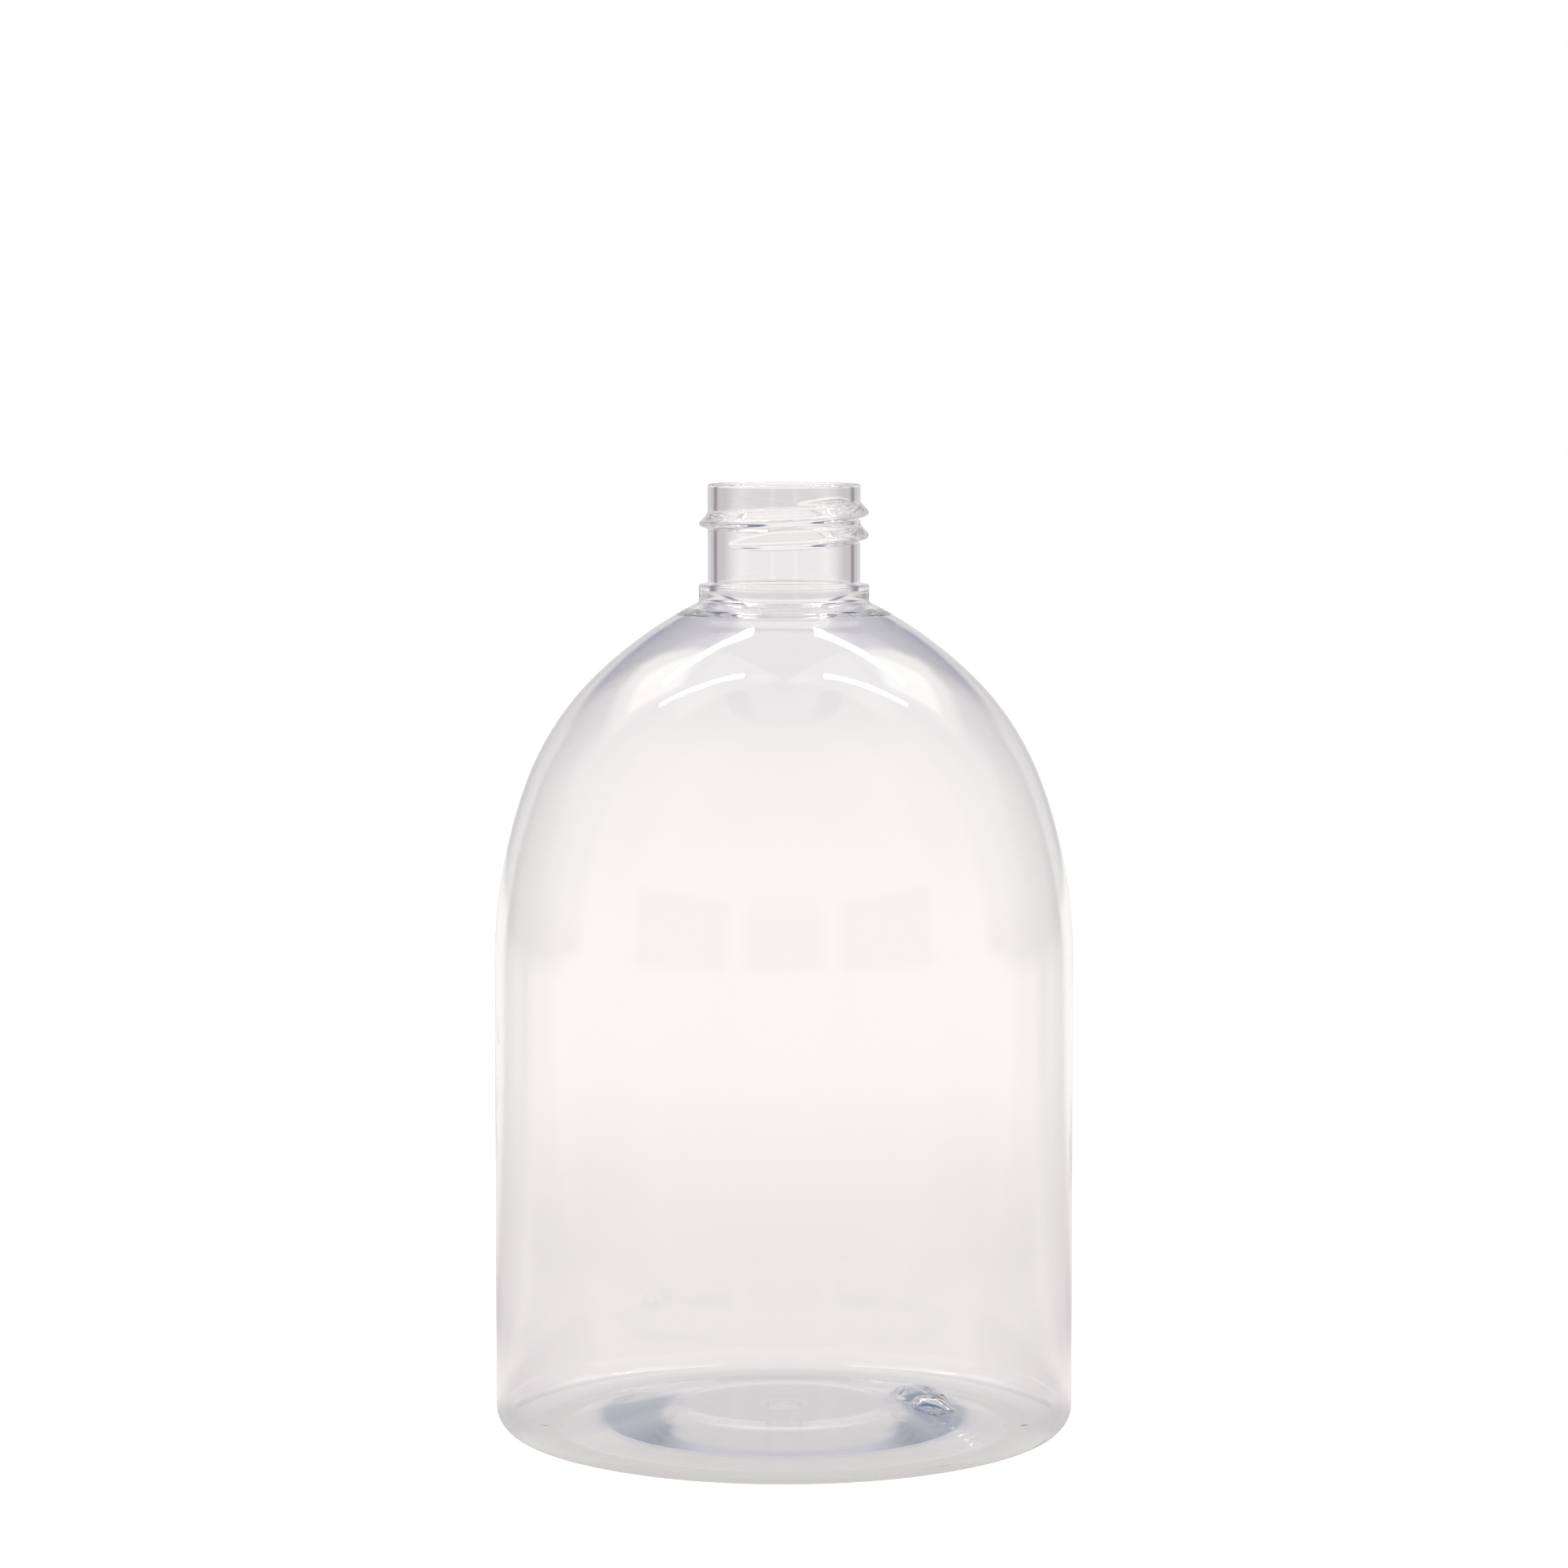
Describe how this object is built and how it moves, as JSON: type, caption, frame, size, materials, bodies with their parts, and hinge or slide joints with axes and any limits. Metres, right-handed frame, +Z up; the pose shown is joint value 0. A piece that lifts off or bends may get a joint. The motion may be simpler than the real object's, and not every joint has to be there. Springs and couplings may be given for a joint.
{
  "type": "pet bottle",
  "caption": "Clear blown plastic bottle with a straight round body, a long bell-shaped shoulder and a narrow open neck with a screw thread and collar.",
  "frame": {"origin": "centre of the resting ring under the base, on the bottle's axis", "axes": "+Z up the bottle's axis, out of the mouth; +X and -X through the mould's parting line, -Y faces the camera of the picture"},
  "size_m": [0.0816, 0.0816, 0.1342],
  "materials": {
    "clear_plastic": "clear, glossy, blown polyethylene terephthalate"
  },
  "bodies": {
    "root": {"bottle": "clear_plastic"}
  },
  "joints": []
}
